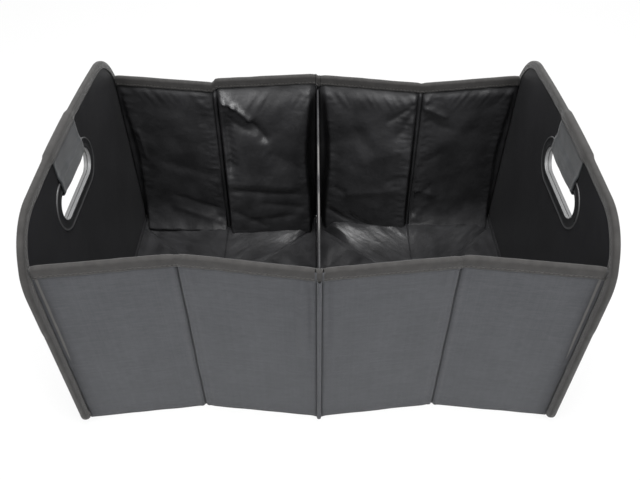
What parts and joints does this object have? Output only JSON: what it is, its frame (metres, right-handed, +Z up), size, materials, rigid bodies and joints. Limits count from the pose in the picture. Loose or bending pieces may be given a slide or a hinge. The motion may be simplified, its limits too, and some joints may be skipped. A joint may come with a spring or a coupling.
{
  "type": "folding car organizer",
  "caption": "Open-topped folding boot box: stiff ends with grip slots, hinged cloth-covered wall boards, a divider and a floor that folds up.",
  "frame": {"origin": "on the ground, under the centre of the open box", "axes": "+X along the box from end to end, +Y to the back wall, +Z up; the picture looks along +Y"},
  "size_m": [0.516, 0.35, 0.276],
  "materials": {
    "outer_cloth": "slate grey canvas",
    "binding": "warm grey woven tape",
    "lining": "shiny black nylon",
    "end_lining": "smooth charcoal cloth",
    "stiffener": "grey extruded sheet",
    "grip_ring": "dark grey moulding, satin",
    "grip_wrap": "blue-grey webbing"
  },
  "bodies": {
    "divider": {"divider_board": "stiffener", "divider_cover": "lining", "front_centre_seam": "outer_cloth", "back_centre_seam": "outer_cloth", "front_left_gusset": "lining", "back_left_gusset": "lining", "front_right_gusset": "lining", "back_right_gusset": "lining"},
    "front_left_inner": {"front_left_inner_cloth": "outer_cloth", "front_left_inner_board": "stiffener", "front_left_inner_lining": "lining", "front_left_inner_binding": "binding"},
    "front_left_outer": {"front_left_outer_cloth": "outer_cloth", "front_left_outer_board": "stiffener", "front_left_outer_lining": "lining", "front_left_outer_binding": "binding"},
    "left_end": {"left_end_lining": "end_lining", "left_end_board": "stiffener", "left_end_cloth": "outer_cloth", "left_end_binding": "binding", "left_grip_ring_inside": "grip_ring", "left_grip_ring_outside": "grip_ring", "left_grip_wrap": "grip_wrap"},
    "back_left_inner": {"back_left_inner_cloth": "outer_cloth", "back_left_inner_board": "stiffener", "back_left_inner_lining": "lining", "back_left_inner_binding": "binding"},
    "back_left_outer": {"back_left_outer_cloth": "outer_cloth", "back_left_outer_board": "stiffener", "back_left_outer_lining": "lining", "back_left_outer_binding": "binding"},
    "left_floor_inner": {"left_floor_inner": "lining"},
    "left_floor_outer": {"left_floor_outer": "lining"},
    "front_right_inner": {"front_right_inner_cloth": "outer_cloth", "front_right_inner_board": "stiffener", "front_right_inner_lining": "lining", "front_right_inner_binding": "binding"},
    "front_right_outer": {"front_right_outer_cloth": "outer_cloth", "front_right_outer_board": "stiffener", "front_right_outer_lining": "lining", "front_right_outer_binding": "binding"},
    "right_end": {"right_end_lining": "end_lining", "right_end_board": "stiffener", "right_end_cloth": "outer_cloth", "right_end_binding": "binding", "right_grip_ring_inside": "grip_ring", "right_grip_ring_outside": "grip_ring", "right_grip_wrap": "grip_wrap"},
    "back_right_inner": {"back_right_inner_cloth": "outer_cloth", "back_right_inner_board": "stiffener", "back_right_inner_lining": "lining", "back_right_inner_binding": "binding"},
    "back_right_outer": {"back_right_outer_cloth": "outer_cloth", "back_right_outer_board": "stiffener", "back_right_outer_lining": "lining", "back_right_outer_binding": "binding"},
    "right_floor_inner": {"right_floor_inner": "lining"},
    "right_floor_outer": {"right_floor_outer": "lining"}
  },
  "joints": [
    {"name": "left_fold", "type": "hinge", "parent": "divider", "child": "front_left_inner", "pos_m": [-0.003, -0.16, 0.115], "axis": [0, 0, -1], "range_deg": [-6.5, 77], "deforming": ["front_left_inner_lining", "front_left_outer_lining", "front_left_gusset", "back_left_inner_lining", "back_left_outer_lining", "back_left_gusset"]},
    {"name": "front_left_crease", "type": "hinge", "parent": "front_left_inner", "child": "front_left_outer", "pos_m": [-0.12596, -0.15263, 0.115], "axis": [0, 0, 1], "range_deg": [-13, 154]},
    {"name": "left_end_hinge", "type": "hinge", "parent": "front_left_outer", "child": "left_end", "pos_m": [-0.24891, -0.16, 0.115], "axis": [0, 0, -1], "range_deg": [-6.5, 77]},
    {"name": "back_left_fold", "type": "hinge", "parent": "divider", "child": "back_left_inner", "pos_m": [-0.003, 0.16, 0.115], "axis": [0, 0, 1], "range_deg": [-6.5, 77]},
    {"name": "back_left_crease", "type": "hinge", "parent": "back_left_inner", "child": "back_left_outer", "pos_m": [-0.12596, 0.15263, 0.115], "axis": [0, 0, -1], "range_deg": [-13, 154]},
    {"name": "left_floor_fold", "type": "hinge", "parent": "divider", "child": "left_floor_inner", "pos_m": [-0.0019, 0, 0.0042], "axis": [0, 1, 0], "range_deg": [-6.5, 77]},
    {"name": "left_floor_ridge_fold", "type": "hinge", "parent": "left_floor_inner", "child": "left_floor_outer", "pos_m": [-0.12486, 0, 0.01157], "axis": [0, -1, 0], "range_deg": [-13, 154]},
    {"name": "right_fold", "type": "hinge", "parent": "divider", "child": "front_right_inner", "pos_m": [0.003, -0.16, 0.115], "axis": [0, 0, 1], "range_deg": [-6.5, 77], "deforming": ["front_right_inner_lining", "front_right_outer_lining", "front_right_gusset", "back_right_inner_lining", "back_right_outer_lining", "back_right_gusset"]},
    {"name": "front_right_crease", "type": "hinge", "parent": "front_right_inner", "child": "front_right_outer", "pos_m": [0.12596, -0.15263, 0.115], "axis": [0, 0, -1], "range_deg": [-13, 154]},
    {"name": "right_end_hinge", "type": "hinge", "parent": "front_right_outer", "child": "right_end", "pos_m": [0.24891, -0.16, 0.115], "axis": [0, 0, 1], "range_deg": [-6.5, 77]},
    {"name": "back_right_fold", "type": "hinge", "parent": "divider", "child": "back_right_inner", "pos_m": [0.003, 0.16, 0.115], "axis": [0, 0, -1], "range_deg": [-6.5, 77]},
    {"name": "back_right_crease", "type": "hinge", "parent": "back_right_inner", "child": "back_right_outer", "pos_m": [0.12596, 0.15263, 0.115], "axis": [0, 0, 1], "range_deg": [-13, 154]},
    {"name": "right_floor_fold", "type": "hinge", "parent": "divider", "child": "right_floor_inner", "pos_m": [0.0019, 0, 0.0042], "axis": [0, -1, 0], "range_deg": [-6.5, 77]},
    {"name": "right_floor_ridge_fold", "type": "hinge", "parent": "right_floor_inner", "child": "right_floor_outer", "pos_m": [0.12486, 0, 0.01157], "axis": [0, 1, 0], "range_deg": [-13, 154]}
  ],
  "couplings": [
    {"joint": "front_left_crease", "follows": "left_fold", "ratio": 2},
    {"joint": "left_end_hinge", "follows": "left_fold", "ratio": 1},
    {"joint": "back_left_fold", "follows": "left_fold", "ratio": 1},
    {"joint": "back_left_crease", "follows": "left_fold", "ratio": 2},
    {"joint": "left_floor_fold", "follows": "left_fold", "ratio": 1},
    {"joint": "left_floor_ridge_fold", "follows": "left_fold", "ratio": 2},
    {"joint": "front_right_crease", "follows": "right_fold", "ratio": 2},
    {"joint": "right_end_hinge", "follows": "right_fold", "ratio": 1},
    {"joint": "back_right_fold", "follows": "right_fold", "ratio": 1},
    {"joint": "back_right_crease", "follows": "right_fold", "ratio": 2},
    {"joint": "right_floor_fold", "follows": "right_fold", "ratio": 1},
    {"joint": "right_floor_ridge_fold", "follows": "right_fold", "ratio": 2}
  ]
}
